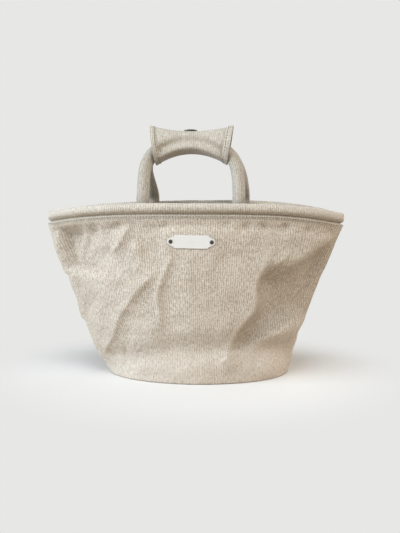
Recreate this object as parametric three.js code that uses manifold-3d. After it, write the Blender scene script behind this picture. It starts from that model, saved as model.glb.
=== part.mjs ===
// Market bag in heavy linen canvas: an oval base, two body panels joined at side seams, a corded
// rim roll, two covered rope handles sewn inside the rim, and a canvas grip that wraps both
// handles and closes with a snap. Millimetres, +Z up, front towards -Y, origin on the floor.
import * as THREE from 'three';
import { mergeVertices } from 'three/addons/utils/BufferGeometryUtils.js';
import Module from 'manifold-3d';

const wasm = await Module();
wasm.setup();

// Clearances
const gap = 0.3;              // between cloth layers and between pieces that touch
const boreGap = 0.3;          // radial play of a rivet, cord or rope in its hole or cover

// Bag body
const canvas = 1.6;           // thickness of the body cloth
const baseLength = 198;
const baseDepth = 138;
const baseThickness = 2;
const baseFullness = 0.18;    // how far the base is squarer than an oval
const panelFoot = 0.4;        // height of the panels' lower edge
const sideSwell = 26;         // outward bow of the side outline
const frontSwell = 24;        // outward bow of the front and back

// Rim roll
const mouthLength = 352;      // over the roll
const mouthDepth = 104;       // over the roll
const mouthPinch = 0.2;       // how far the mouth draws in to a lens
const rimHeight = 198;        // top of the roll at mid width
const rimDrop = 10;           // how much lower the roll lies at the side seams
const rollDiameter = 12;
const bindingCloth = 1.2;
const flangeDrop = 5;         // stitched flange below the roll

// Handles
const handleDiameter = 14.5;
const coverCloth = 1.25;
const legSpacing = 109;       // centre to centre at the rim
const foldHeight = 203;       // where the handles fold, just above the roll
const barHeight = 263.5;      // centre of the bars at mid width
const barGap = 0.7;           // between the two handles inside the grip
const archPower = 3.6;        // squareness of the handle loop
const leanPower = 1.5;        // how early the legs lean in
const legShift = 2.4;         // front handle sits left and the back one right at the rim
const barShift = -4;          // both loops sway left at the top
const ropeEndHeight = 174;    // rope stops here inside the bag
const tabHeight = 158;        // the cover is flat from here down
const tabFoot = 138;
const tabThickness = 3;
const tabWidth = 21;

// Grip wrap
const wrapCloth = 1.5;
const wrapLengthTop = 97;
const wrapLengthBottom = 82;
const wrapDepth = 36;
const wrapTop = 280;          // at mid width
const wrapBottom = 253.7;     // at mid width
const wrapEndRise = 6.5;
const wrapEndSag = 12.5;
const wrapRidge = 0.6;        // how far the open ends narrow to a ridge
const wrapEndFlare = 3;       // extra half depth where the ends go round the bending bars
const wrapShift = -3.2;
const wrapPower = 2.8;
const unfoldAngle = 212;      // fold line at the lower front, degrees round the section
const liftAngle = 154;        // fold line at the upper front
const flapEdgeAngle = 42;     // free edge of the flap, on the back of the top
const innerEdgeAngle = 146;   // free edge of the inner layer
const foldGapAngle = 1.4;
const snapRoom = 4;           // height that the closed snap needs between the layers

// Snap
const snapShift = -1;         // from the middle of the wrap
const capDiameter = 15.5;
const capHeight = 2;
const socketDiameter = 11;
const socketHeight = 2.2;
const studDiameter = 10;
const studFlange = 0.8;
const studHeadDiameter = 5.6;
const postDiameter = 10;
const postFlange = 0.7;
const layerCrown = 0.2;       // how far a cloth layer bows past a flat snap part
const shankDiameter = 3.4;

// Name plate, left bare
const plateHeight = 14.8;
const plateBody = 41.6;       // length between the end tabs
const plateThickness = 1;
const plateNotch = 2;
const plateCentre = 155;      // height of its centre
const rivetSpacing = 45.8;
const tabRadius = 3.9;
const rivetHead = 4.4;
const rivetHeadHeight = 0.9;
const rivetShank = 2.2;
const rivetTail = 3.4;
const washerDiameter = 6;
const washerThickness = 0.8;

// Facets
const rimSteps = 52;
const rollSides = 8;
const panelColumns = 30;
const panelRows = 10;
const handleSteps = 24;
const coverSides = 10;
const wrapColumns = 12;

const rollRadius = rollDiameter / 2;
const cordRadius = rollRadius - bindingCloth - boreGap;
const handleRadius = handleDiameter / 2;
const ropeRadius = handleRadius - coverCloth - boreGap;
const barY = handleRadius + barGap / 2;

const colours = {
  canvas: 0xbdb6a9, binding: 0xb9b1a3, cover: 0xc2bbaa, rope: 0xd8cfba, wrap: 0xc6c0b1,
  enamel: 0xf2f1ec, rivet: 0x4b453e, snap: 0x8d8678,
};

function finish(colour, roughness, metalness) {
  return new THREE.MeshStandardMaterial({ color: colour, roughness, metalness });
}

const lerp = THREE.MathUtils.lerp;
const smooth = THREE.MathUtils.smoothstep;

// Height of the roll's centre over the point of the rim at this angle round the mouth
function rollHeight(angle) {
  return rimHeight - rollRadius - rimDrop * Math.cos(angle) ** 2;
}

function panelTop(angle) {
  return rollHeight(angle) - cordRadius - gap;
}

// Middle of the wall cloth at an angle round the bag and a height
function wall(angle, height) {
  const rise = (height - panelFoot) / (panelTop(angle) - panelFoot);
  const bow = rise * (1 - rise);
  const halfLength = lerp(baseLength / 2, mouthLength / 2 - rollRadius, rise) + sideSwell * bow;
  const halfDepth = lerp(baseDepth / 2, mouthDepth / 2 - rollRadius, rise) + frontSwell * bow;
  const pinch = lerp(-baseFullness, mouthPinch, rise);
  const c = Math.cos(angle);
  const s = Math.sin(angle);
  return new THREE.Vector3(halfLength * c, halfDepth * s * (1 - pinch * c * c), height);
}

function wallNormal(angle, height) {
  const step = 0.002;
  const along = wall(angle + step, height).sub(wall(angle - step, height));
  const up = wall(angle, height + 1).sub(wall(angle, height - 1));
  return along.cross(up).normalize();
}

// Distance of the wall's middle from the centre plane at a given x and height
function wallDepth(x, height) {
  let low = 0;
  let high = Math.PI / 2;
  for (let i = 0; i < 30; i += 1) {
    const middle = (low + high) / 2;
    if (wall(middle, height).x > x) low = middle;
    else high = middle;
  }
  return wall(low, height).y;
}

function geometryFrom(points, triangles) {
  const geometry = new THREE.BufferGeometry();
  geometry.setAttribute('position', new THREE.Float32BufferAttribute(points.flatMap(p => [p.x, p.y, p.z]), 3));
  geometry.setIndex(triangles);
  return facingOut(geometry);
}

function signedVolume(geometry) {
  const p = geometry.attributes.position;
  const index = geometry.index;
  const a = new THREE.Vector3();
  const b = new THREE.Vector3();
  const c = new THREE.Vector3();
  let volume = 0;
  for (let i = 0; i < index.count; i += 3) {
    a.fromBufferAttribute(p, index.getX(i));
    b.fromBufferAttribute(p, index.getX(i + 1));
    c.fromBufferAttribute(p, index.getX(i + 2));
    volume += a.dot(b.cross(c)) / 6;
  }
  return volume;
}

function facingOut(geometry) {
  if (signedVolume(geometry) < 0) {
    const index = geometry.index;
    for (let i = 0; i < index.count; i += 3) {
      const first = index.getX(i);
      index.setX(i, index.getX(i + 1));
      index.setX(i + 1, first);
    }
  }
  geometry.computeVertexNormals();
  return geometry;
}

// Joins rings of equal point count, each ring closed on itself. Ends may be capped as strips
// between the two halves of a ring, drawn to a point, or joined to each other.
function joinRings(rings, ends) {
  const points = rings.flat();
  const starts = [];
  let total = 0;
  for (const ring of rings) {
    starts.push(total);
    total += ring.length;
  }
  const triangles = [];
  const band = (i, k) => {
    const n = Math.max(rings[i].length, rings[k].length);
    for (let j = 0; j < n; j += 1) {
      const next = (j + 1) % n;
      const a = starts[i] + (rings[i].length > 1 ? j : 0);
      const b = starts[i] + (rings[i].length > 1 ? next : 0);
      const c = starts[k] + (rings[k].length > 1 ? next : 0);
      const d = starts[k] + (rings[k].length > 1 ? j : 0);
      if (a !== b) triangles.push(a, b, c);
      if (c !== d) triangles.push(a, c, d);
    }
  };
  for (let i = 0; i + 1 < rings.length; i += 1) band(i, i + 1);
  if (ends === 'loop') band(rings.length - 1, 0);
  if (ends === 'strips') {
    const half = rings[0].length / 2;
    for (const [start, turn] of [[starts[0], false], [starts[rings.length - 1], true]]) {
      for (let j = 0; j + 1 < half; j += 1) {
        const a = start + j;
        const b = start + j + 1;
        const c = start + 2 * half - 2 - j;
        const d = start + 2 * half - 1 - j;
        if (turn) triangles.push(a, b, c, a, c, d);
        else triangles.push(a, c, b, a, d, c);
      }
    }
  }
  return geometryFrom(points, triangles);
}

// A cloth layer of even thickness: outer and inner give the two faces at (column, row)
function clothLayer(columns, rows, outer, inner) {
  const rings = [];
  for (let i = 0; i <= columns; i += 1) {
    const ring = [];
    for (let j = 0; j <= rows; j += 1) ring.push(outer(i / columns, j / rows));
    for (let j = rows; j >= 0; j -= 1) ring.push(inner(i / columns, j / rows));
    rings.push(ring);
  }
  return joinRings(rings, 'strips');
}

// A turned body bent along a path. The profile lists distance along the path and radius, and
// either starts and ends on the axis or closes on itself. Flat squeezes it towards the wall.
function turnedAlong(path, profile, sides, flat = () => [1, 1]) {
  const length = path.getLength();
  const closed = profile[0][1] > 0;
  const rings = profile.map(([distance, radius]) => {
    const inside = Math.min(Math.max(distance, 0), length);
    const tangent = path.getTangentAt(inside / length);
    const centre = path.getPointAt(inside / length).addScaledVector(tangent, distance - inside);
    if (radius === 0) return [centre];
    const across = new THREE.Vector3(0, 1, 0);
    across.addScaledVector(tangent, -across.dot(tangent)).normalize();
    const side = tangent.clone().cross(across);
    const [thin, wide] = flat(centre.z);
    const ring = [];
    for (let j = 0; j < sides; j += 1) {
      const turn = (2 * Math.PI * (j + 0.5)) / sides;
      const point = centre.clone().addScaledVector(across, radius * thin * Math.cos(turn));
      ring.push(point.addScaledVector(side, radius * wide * Math.sin(turn)));
    }
    return ring;
  });
  return joinRings(rings, closed ? 'loop' : 'points');
}

// A body turned about the Z axis, from radius and height pairs
function turned(profile, segments) {
  const outline = profile.map(([radius, height]) => new THREE.Vector2(radius, height));
  const geometry = new THREE.LatheGeometry(outline, segments);
  geometry.rotateX(Math.PI / 2);
  return welded(geometry);
}

function welded(geometry) {
  geometry.deleteAttribute('normal');
  geometry.deleteAttribute('uv');
  return facingOut(mergeVertices(geometry, 1e-4));
}

function toSolid(geometry) {
  const merged = mergeVertices(geometry.clone().deleteAttribute('normal'), 1e-4);
  return new wasm.Manifold(new wasm.Mesh({
    numProp: 3,
    vertProperties: new Float32Array(merged.attributes.position.array),
    triVerts: new Uint32Array(merged.index.array),
  }));
}

function withHoles(geometry, holes) {
  let solid = toSolid(geometry);
  for (const hole of holes) solid = solid.subtract(toSolid(hole));
  const mesh = solid.getMesh();
  const result = new THREE.BufferGeometry();
  result.setAttribute('position', new THREE.BufferAttribute(new Float32Array(mesh.vertProperties), 3));
  result.setIndex(Array.from(mesh.triVerts));
  return facingOut(result);
}

// A round tool for holes, standing on the Z axis about the origin
function drill(diameter, depth, sides = 12) {
  const geometry = new THREE.CylinderGeometry(diameter / 2, diameter / 2, depth, sides);
  geometry.rotateX(Math.PI / 2);
  return welded(geometry);
}

const bag = new THREE.Group();

function add(name, geometry, material) {
  const mesh = new THREE.Mesh(geometry, material);
  mesh.name = name;
  bag.add(mesh);
  return mesh;
}

// The plate's place on the front panel: its own frame has +Z out of the cloth and +Y up
function plateFrame() {
  const angle = -Math.PI / 2;
  const out = wallNormal(angle, plateCentre);
  const side = new THREE.Vector3(1, 0, 0);
  const frame = new THREE.Matrix4().makeBasis(side, out.clone().cross(side), out);
  const seat = wall(angle, plateCentre).addScaledVector(out, canvas / 2 + gap);
  return frame.setPosition(seat);
}

const plateSeat = plateFrame();
const rivetPlaces = [-rivetSpacing / 2, rivetSpacing / 2];

function placedOnPlate(geometry, x) {
  return geometry.clone().translate(x, 0, 0).applyMatrix4(plateSeat);
}

// How far the cloth falls back behind the flat plate at a rivet
function clothFallAt(x) {
  const centre = wallDepth(0, plateCentre);
  return centre - wallDepth(Math.abs(x), plateCentre);
}

function panel(isFront) {
  const face = offset => (across, up) => {
    const turn = isFront ? Math.PI : 0;
    const top = turn + Math.PI * across;
    const height = lerp(panelFoot, panelTop(top), up);
    const end = wall(turn + 0.01, height).y / 0.01;
    const seam = Math.abs((gap / 2) / end);
    const angle = lerp(turn + seam, turn + Math.PI - seam, across);
    const point = wall(angle, height).addScaledVector(wallNormal(angle, height), offset);
    point.z = height;
    return point;
  };
  return clothLayer(panelColumns, panelRows, face(canvas / 2), face(-canvas / 2));
}

function basePanel() {
  const outline = [];
  for (let i = 0; i < rimSteps; i += 1) {
    const angle = (2 * Math.PI * i) / rimSteps;
    const out = wallNormal(angle, panelFoot);
    out.z = 0;
    const point = wall(angle, panelFoot).addScaledVector(out.normalize(), -canvas / 2 - 2 * gap);
    outline.push(new THREE.Vector2(point.x, point.y));
  }
  const options = { depth: baseThickness, bevelEnabled: false };
  return welded(new THREE.ExtrudeGeometry(new THREE.Shape(outline), options));
}

// Sweeps a section round the mouth. Each section point is an outward distance and a height
// from the roll's centre; below the roll it follows the lean of the wall.
function roundTheMouth(section) {
  const rings = [];
  for (let i = 0; i < rimSteps; i += 1) {
    const angle = (2 * Math.PI * i) / rimSteps;
    const out = wallNormal(angle, panelTop(angle));
    out.z = 0;
    out.normalize();
    rings.push(section.map(([outward, height]) => {
      const level = rollHeight(angle) + height;
      const root = wall(angle, Math.min(level, panelTop(angle)));
      root.z = level;
      return root.addScaledVector(out, outward);
    }));
  }
  return joinRings(rings, 'loop');
}

function arcPoints(radius, slotHalf, count) {
  const start = Math.asin(slotHalf / radius);
  const points = [];
  for (let i = 0; i <= count; i += 1) {
    const turn = lerp(start, 2 * Math.PI - start, i / count);
    points.push([radius * Math.sin(turn), -radius * Math.cos(turn)]);
  }
  return points;
}

// The roll cloth goes round the cord, and its two edges run down both faces of the panels
function rimBinding() {
  const slotHalf = canvas / 2 + gap;
  const flangeHalf = slotHalf + bindingCloth;
  const foot = -rollRadius - flangeDrop;
  const outer = arcPoints(rollRadius, flangeHalf, rollSides);
  const inner = arcPoints(rollRadius - bindingCloth, slotHalf, rollSides + 2).reverse();
  const section = [[flangeHalf, foot], ...outer, [-flangeHalf, foot], [-slotHalf, foot], ...inner,
    [slotHalf, foot]];
  return roundTheMouth(section);
}

function rimCord() {
  const section = [];
  for (let j = 0; j < 8; j += 1) {
    const turn = (2 * Math.PI * j) / 8;
    section.push([cordRadius * Math.sin(turn), -cordRadius * Math.cos(turn)]);
  }
  return roundTheMouth(section);
}

// The fold line of both handles lies just inside the roll
const foldY = wallDepth((legSpacing + handleRadius) / 2 + legShift, rimHeight - rollRadius - rimDrop)
  - rollRadius - handleRadius - gap;

function legX(isFront, right) {
  return (right ? 1 : -1) * legSpacing / 2 + (isFront ? -legShift : legShift);
}

// Centre line of a handle above its fold points, from the left one over to the right one
function handlePath(isFront) {
  const side = isFront ? -1 : 1;
  const points = [];
  const count = 18;
  for (let i = 0; i <= count; i += 1) {
    const turn = Math.PI * (1 - i / count);
    const c = Math.cos(turn);
    const reach = Math.sign(c) * Math.abs(c) ** (2 / archPower);
    const rise = Math.abs(Math.sin(turn)) ** (2 / archPower);
    const level = i === 0 || i === count ? 0 : rise;
    const sway = lerp(side * legShift, barShift, smooth(level, 0, 1));
    const lean = 1 - (1 - level) ** leanPower;
    points.push(new THREE.Vector3(
      (legSpacing / 2) * reach + sway,
      side * lerp(foldY, barY, lean),
      lerp(foldHeight, barHeight, level),
    ));
  }
  return new THREE.CatmullRomCurve3(points, false, 'centripetal');
}

const handlePaths = { front: handlePath(true), back: handlePath(false) };

function evenSteps(from, to, count) {
  return Array.from({ length: count + 1 }, (_, i) => lerp(from, to, i / count));
}

// Distance beyond the fold point at which a ball of the cover's size has this radius
function ballReach(radius) {
  return Math.sqrt(handleRadius ** 2 - radius ** 2);
}

function handleCover(path) {
  const length = path.getLength();
  const bore = handleRadius - coverCloth;
  const lip = ballReach(bore + 0.2);
  const shoulder = ballReach(handleRadius * 0.95);
  const outer = evenSteps(0, length, handleSteps).map(s => [s, handleRadius]);
  const inner = evenSteps(length, 0, handleSteps).map(s => [s, bore]);
  const profile = [[-lip, bore + 0.2], [-shoulder, handleRadius * 0.95], ...outer,
    [length + shoulder, handleRadius * 0.95], [length + lip, bore + 0.2],
    [length + lip, bore], ...inner.slice(1, -1), [-lip, bore]];
  return turnedAlong(path, profile, coverSides);
}

// The rope's rounded end fills the ball that the cover leaves open, out to its pole
function ropeEnd(start, direction) {
  const shoulder = ropeRadius * 0.6;
  const steps = [[ballReach(ropeRadius), ropeRadius], [ballReach(shoulder), shoulder], [handleRadius, 0]];
  return steps.map(([reach, radius]) => [start + direction * reach, radius]);
}

function handleRope(path) {
  const length = path.getLength();
  const middle = evenSteps(0, length, handleSteps).map(s => [s, ropeRadius]);
  const profile = [...ropeEnd(0, -1).reverse(), ...middle.slice(1, -1), ...ropeEnd(length, 1)];
  return turnedAlong(path, profile, coverSides);
}

// A leg below the fold point hangs straight past the roll, then lies against the panel
function legPath(isFront, right) {
  const side = isFront ? -1 : 1;
  const x = legX(isFront, right);
  const tabY = height => wallDepth(Math.abs(x) + tabWidth / 4, height) - canvas / 2 - gap - tabThickness / 2;
  const top = foldHeight - 2 * handleRadius - gap;
  const points = [
    [tabY(tabFoot), tabFoot],
    [tabY((tabFoot + tabHeight) / 2), (tabFoot + tabHeight) / 2],
    [tabY(tabHeight) - 0.5, tabHeight],
    [lerp(foldY, tabY(tabHeight), 0.55), lerp(tabHeight, ropeEndHeight, 0.5)],
    [foldY, ropeEndHeight + 3],
    [foldY, top],
  ].map(([y, z]) => new THREE.Vector3(x, side * y, z));
  return new THREE.CatmullRomCurve3(points, false, 'centripetal');
}

function flattening(height) {
  const round = smooth(height, tabHeight, ropeEndHeight);
  return [lerp(tabThickness / handleDiameter, 1, round), lerp(tabWidth / handleDiameter, 1, round)];
}

function legLengths(path) {
  const length = path.getLength();
  const straight = path.points[5].z - path.points[4].z;
  return { length, ropeFoot: length - straight };
}

function legCover(path) {
  const { length, ropeFoot } = legLengths(path);
  const bore = handleRadius - coverCloth;
  const dome = ballReach(bore + 0.2);
  const shoulder = ballReach(handleRadius * 0.95);
  const outer = evenSteps(0, length, 9).map(s => [s, handleRadius]);
  const profile = [[0, 0], ...outer, [length + shoulder, handleRadius * 0.95],
    [length + dome, bore + 0.2], [length + dome, bore], [ropeFoot, bore], [ropeFoot, 0]];
  return turnedAlong(path, profile, coverSides, flattening);
}

function legRope(path) {
  const { length, ropeFoot } = legLengths(path);
  const profile = [[ropeFoot + gap, 0], [ropeFoot + gap, ropeRadius], [length, ropeRadius],
    ...ropeEnd(length, 1)];
  return turnedAlong(path, profile, coverSides);
}

// Half length, heights and depth of the grip wrap at a point of its section
function wrapPoint(along, degrees, inset) {
  const turn = THREE.MathUtils.degToRad(degrees);
  const end = along * along;
  const c = Math.sign(Math.cos(turn)) * Math.abs(Math.cos(turn)) ** (2 / wrapPower);
  const s = Math.sign(Math.sin(turn)) * Math.abs(Math.sin(turn)) ** (2 / wrapPower);
  const height = (1 + s) / 2;
  const low = wrapBottom - wrapEndSag * end + inset;
  const high = wrapTop + wrapEndRise * end - inset;
  const taperStart = 0.45;
  const taper = Math.max(0, (height - taperStart) / (1 - taperStart)) ** 1.5;
  const narrow = 1 - lerp(0.1, wrapRidge, end) * taper;
  const x = along * lerp(wrapLengthBottom, wrapLengthTop, height) / 2;
  const depth = Math.max((wrapDepth / 2 + wrapEndFlare * end) * narrow - inset, 0.5);
  return new THREE.Vector3(x + wrapShift, depth * c, (low + high) / 2 + ((high - low) / 2) * s);
}

const snapX = wrapShift + snapShift;

// The inner layer of the wrap's top lies lower under the snap, which needs room there
function layerInset(along) {
  const fromSnap = (along * wrapLengthTop) / 2 - snapShift;
  return wrapCloth + gap + (snapRoom - gap) * Math.exp(-((fromSnap / 18) ** 4));
}

function wrapLayer(from, to, rows, inset) {
  const face = extra => (across, round) => {
    const along = lerp(-1, 1, across);
    const degrees = lerp(from, to, round);
    return wrapPoint(along, degrees, inset(along, degrees) + extra);
  };
  return clothLayer(wrapColumns, rows, face(0), face(wrapCloth));
}

function snapHole() {
  const hole = drill(shankDiameter + 2 * boreGap, wrapTop - barHeight);
  return hole.translate(snapX, 0, (wrapTop + barHeight + handleRadius) / 2 + 2);
}

// Bottom, back and inner top layer of the wrap, sewn to the back handle
function wrapCradle() {
  const start = unfoldAngle - 360 + foldGapAngle;
  const inset = (along, degrees) => layerInset(along) * smooth(degrees, -20, flapEdgeAngle - 10);
  return withHoles(wrapLayer(start, innerEdgeAngle, 22, inset), [snapHole()]);
}

function wrapFront() {
  return wrapLayer(unfoldAngle, liftAngle, 6, () => 0);
}

function wrapFlap() {
  return withHoles(wrapLayer(liftAngle - foldGapAngle, flapEdgeAngle, 10, () => 0), [snapHole()]);
}

// Snap, from the cap on the flap down to the post below the inner layer
const capSeat = wrapTop + gap + layerCrown;
const flapUnderside = wrapTop - wrapCloth;
const innerLayerTop = wrapTop - layerInset(2 * snapShift / wrapLengthTop);
const innerLayerUnderside = innerLayerTop - wrapCloth;

function snapCap() {
  const radius = capDiameter / 2;
  const shank = shankDiameter / 2;
  const foot = flapUnderside - gap - socketHeight * 0.4;
  return turned([[0, foot], [shank, foot], [shank, capSeat], [radius, capSeat],
    [radius, capSeat + capHeight * 0.35], [radius * 0.8, capSeat + capHeight * 0.8],
    [radius * 0.4, capSeat + capHeight], [0, capSeat + capHeight]], 24);
}

function snapSocket() {
  const top = flapUnderside - gap;
  const bottom = top - socketHeight;
  const bore = studHeadDiameter / 2 + boreGap;
  const neck = shankDiameter / 2 + boreGap;
  const radius = socketDiameter / 2;
  const step = top - socketHeight * 0.5;
  return turned([[neck, top], [radius, top], [radius, bottom], [bore, bottom], [bore, step],
    [neck, step], [neck, top]], 20);
}

function snapStud() {
  const base = innerLayerTop + gap;
  const neck = shankDiameter / 2 + boreGap;
  const head = studHeadDiameter / 2;
  const top = base + studFlange + 1.2;
  return turned([[neck, base], [studDiameter / 2, base], [studDiameter / 2, base + studFlange],
    [head, base + studFlange], [head, top], [neck, top], [neck, base]], 20);
}

function snapPost() {
  const seat = innerLayerUnderside - gap - layerCrown;
  const shank = shankDiameter / 2;
  const top = innerLayerTop + gap + studFlange;
  return turned([[0, seat - postFlange], [postDiameter / 2, seat - postFlange],
    [postDiameter / 2, seat], [shank, seat], [shank, top], [0, top]], 20);
}

function onSnap(geometry) {
  return geometry.translate(snapX, 0, 0);
}

// Notched oblong with a half-round tab for the rivet at each end
function namePlate() {
  const halfHeight = plateHeight / 2;
  const halfBody = plateBody / 2;
  const shape = new THREE.Shape();
  shape.moveTo(-halfBody + plateNotch, -halfHeight);
  shape.lineTo(halfBody - plateNotch, -halfHeight);
  shape.absarc(halfBody, -halfHeight, plateNotch, Math.PI, Math.PI / 2, true);
  shape.lineTo(halfBody, -tabRadius);
  shape.absarc(rivetSpacing / 2, 0, tabRadius, -Math.PI / 2, Math.PI / 2, false);
  shape.lineTo(halfBody, tabRadius);
  shape.absarc(halfBody, halfHeight, plateNotch, -Math.PI / 2, -Math.PI, true);
  shape.lineTo(-halfBody + plateNotch, halfHeight);
  shape.absarc(-halfBody, halfHeight, plateNotch, 0, -Math.PI / 2, true);
  shape.lineTo(-halfBody, tabRadius);
  shape.absarc(-rivetSpacing / 2, 0, tabRadius, Math.PI / 2, 1.5 * Math.PI, false);
  shape.lineTo(-halfBody, -tabRadius);
  shape.absarc(-halfBody, -halfHeight, plateNotch, Math.PI / 2, 0, true);
  const options = { depth: plateThickness, bevelEnabled: false, curveSegments: 6 };
  const blank = welded(new THREE.ExtrudeGeometry(shape, options));
  const hole = drill(rivetShank + 2 * boreGap, 4 * plateThickness);
  const holes = rivetPlaces.map(x => hole.clone().translate(x, 0, 0));
  return withHoles(blank, holes).applyMatrix4(plateSeat);
}

// Depth below the plate's seat of the cloth's inner face at a rivet
const clothBack = canvas + gap + clothFallAt(rivetSpacing / 2);

function plateRivet(x) {
  const head = rivetHead / 2;
  const shank = rivetShank / 2;
  const tail = rivetTail / 2;
  const seat = plateThickness + gap;
  const washerFace = -clothBack - gap - washerThickness;
  const tailTop = washerFace - gap;
  return placedOnPlate(turned([[0, tailTop - 0.8], [tail, tailTop - 0.5], [tail, tailTop],
    [shank, tailTop], [shank, seat], [head, seat], [head * 0.75, seat + rivetHeadHeight * 0.75],
    [0, seat + rivetHeadHeight]], 14), x);
}

function rivetWasher(x) {
  const top = -clothBack - gap;
  const bore = rivetShank / 2 + boreGap;
  const outer = washerDiameter / 2;
  return placedOnPlate(turned([[bore, top], [outer, top], [outer, top - washerThickness],
    [bore, top - washerThickness], [bore, top]], 14), x);
}

function frontPanel() {
  const hole = drill(rivetShank + 2 * boreGap, 20);
  return withHoles(panel(true), rivetPlaces.map(x => placedOnPlate(hole, x)));
}

add('base_panel', basePanel(), finish(colours.canvas, 0.95, 0));
add('front_panel', frontPanel(), finish(colours.canvas, 0.95, 0));
add('back_panel', panel(false), finish(colours.canvas, 0.95, 0));
add('rim_binding', rimBinding(), finish(colours.binding, 0.95, 0));
add('rim_cord', rimCord(), finish(colours.rope, 0.9, 0));

for (const name of ['front', 'back']) {
  add(`${name}_handle_cover`, handleCover(handlePaths[name]), finish(colours.cover, 0.95, 0));
  add(`${name}_handle_rope`, handleRope(handlePaths[name]), finish(colours.rope, 0.9, 0));
  for (const side of ['left', 'right']) {
    const path = legPath(name === 'front', side === 'right');
    add(`${name}_${side}_leg_cover`, legCover(path), finish(colours.cover, 0.95, 0));
    add(`${name}_${side}_leg_rope`, legRope(path), finish(colours.rope, 0.9, 0));
  }
}

add('wrap_cradle', wrapCradle(), finish(colours.wrap, 0.95, 0));
add('wrap_front', wrapFront(), finish(colours.wrap, 0.95, 0));
add('wrap_flap', wrapFlap(), finish(colours.wrap, 0.95, 0));
add('snap_cap', onSnap(snapCap()), finish(colours.snap, 0.35, 1));
add('snap_socket', onSnap(snapSocket()), finish(colours.snap, 0.35, 1));
add('snap_stud', onSnap(snapStud()), finish(colours.snap, 0.35, 1));
add('snap_post', onSnap(snapPost()), finish(colours.snap, 0.35, 1));

add('name_plate', namePlate(), finish(colours.enamel, 0.25, 0));
add('left_rivet', plateRivet(rivetPlaces[0]), finish(colours.rivet, 0.4, 1));
add('right_rivet', plateRivet(rivetPlaces[1]), finish(colours.rivet, 0.4, 1));
add('left_rivet_washer', rivetWasher(rivetPlaces[0]), finish(colours.rivet, 0.4, 1));
add('right_rivet_washer', rivetWasher(rivetPlaces[1]), finish(colours.rivet, 0.4, 1));

export default bag;
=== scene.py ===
import math
import bmesh
import bpy
from mathutils import Matrix, Vector, noise


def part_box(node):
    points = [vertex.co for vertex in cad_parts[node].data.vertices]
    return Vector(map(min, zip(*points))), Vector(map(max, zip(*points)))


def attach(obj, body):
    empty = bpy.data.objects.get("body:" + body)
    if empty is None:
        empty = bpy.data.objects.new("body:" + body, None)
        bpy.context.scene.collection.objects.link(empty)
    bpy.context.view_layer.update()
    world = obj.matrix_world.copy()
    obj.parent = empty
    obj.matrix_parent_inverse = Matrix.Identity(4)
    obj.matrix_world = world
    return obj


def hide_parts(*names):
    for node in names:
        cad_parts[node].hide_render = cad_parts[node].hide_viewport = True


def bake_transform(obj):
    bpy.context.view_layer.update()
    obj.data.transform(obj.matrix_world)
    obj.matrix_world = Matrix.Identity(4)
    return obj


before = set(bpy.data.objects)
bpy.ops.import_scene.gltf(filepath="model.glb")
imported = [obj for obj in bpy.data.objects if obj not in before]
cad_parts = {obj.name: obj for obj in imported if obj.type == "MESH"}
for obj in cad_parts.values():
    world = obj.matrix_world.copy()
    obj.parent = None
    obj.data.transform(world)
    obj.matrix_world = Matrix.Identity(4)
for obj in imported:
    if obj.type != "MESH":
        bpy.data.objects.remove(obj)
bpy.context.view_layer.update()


# Camera: a little right of the bag's middle, just above the rim, looking slightly down. Its
# place and focal length were solved from the rim, the base and the table line.
photo_size = (400, 533)
focal_pixels = 800.0
camera_distance = 0.937
camera_height = 0.217
camera_azimuth = math.radians(4.0)
camera_pitch = math.radians(5.75)
camera_yaw = math.radians(0.39)
sensor = 36.0

camera_data = bpy.data.cameras.new("photo_camera")
camera_data.sensor_width = sensor
camera_data.lens = focal_pixels * sensor / photo_size[1]
camera_data.clip_start = 0.05
camera = bpy.data.objects.new("photo_camera", camera_data)
bpy.context.collection.objects.link(camera)
camera.location = (camera_distance * math.sin(camera_azimuth),
                   -camera_distance * math.cos(camera_azimuth), camera_height)
camera.rotation_euler = (math.pi / 2 - camera_pitch, 0, camera_azimuth - camera_yaw)
bpy.context.scene.camera = camera


# Stage: a pale floor that takes the bag's shadow, and a pale surround. A big soft window lights
# the bag from the left, with weaker light from above, from the wall and from the room.
surround_tone = (0.80, 0.80, 0.788, 1)
room_light = 0.08
floor_white = (0.66, 0.655, 0.645, 1)
table_tone = (0.62, 0.54, 0.45, 1)


def link_object(name, data):
    obj = bpy.data.objects.new(name, data)
    bpy.context.collection.objects.link(obj)
    return obj


def softbox(name, place, target, size, watts, colour):
    data = bpy.data.lights.new(name, "AREA")
    data.shape = "RECTANGLE"
    data.size, data.size_y = size
    data.energy = watts
    data.color = colour
    lamp = link_object(name, data)
    lamp.location = place
    lamp.rotation_euler = (Vector(target) - Vector(place)).to_track_quat("-Z", "Y").to_euler()


softbox("window_light", (-1.6, -0.62, 0.72), (0, 0, 0.13), (1.1, 1.2), 38, (0.91, 1.015, 1.1))
softbox("skylight", (0.0, -0.75, 1.5), (0, 0, 0.1), (1.0, 1.0), 15, (0.96, 1.005, 1.05))
softbox("wall_bounce", (0.8, 1.2, 0.55), (0, 0, 0.2), (1.5, 1.0), 11, (1.02, 1.0, 0.96))
softbox("room_bounce", (1.25, -0.75, 1.1), (0, 0, 0.1), (1.2, 1.0), 15, (1.09, 0.97, 0.82))

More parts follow.
